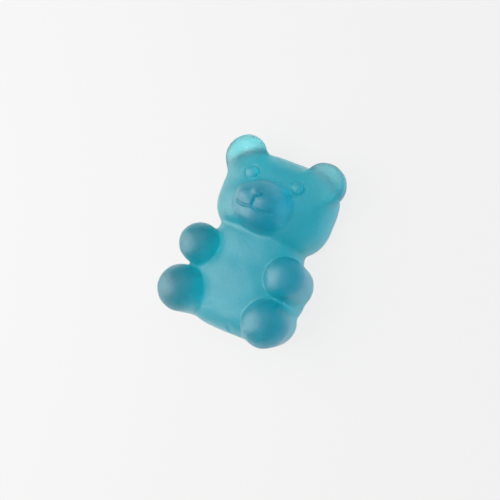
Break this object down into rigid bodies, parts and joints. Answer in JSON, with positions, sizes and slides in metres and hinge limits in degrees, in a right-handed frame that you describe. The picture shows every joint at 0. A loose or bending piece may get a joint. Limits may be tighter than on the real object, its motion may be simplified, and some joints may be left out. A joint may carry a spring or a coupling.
{
  "type": "gummy bear",
  "caption": "Small chewy jelly sweet moulded as a seated bear, with a flat back, round ears, a ball muzzle and stubby limbs.",
  "frame": {"origin": "centre of the flat back, at the base of the bounding box, with the bear lying face up", "axes": "+Z out of the face and belly, +Y towards the ears, +X towards the bear's own left side"},
  "size_m": [0.0154, 0.0208, 0.0084],
  "materials": {
    "jelly": "translucent teal jelly with a soft satin skin"
  },
  "bodies": {
    "root": {"jelly_bear": "jelly"}
  },
  "joints": []
}
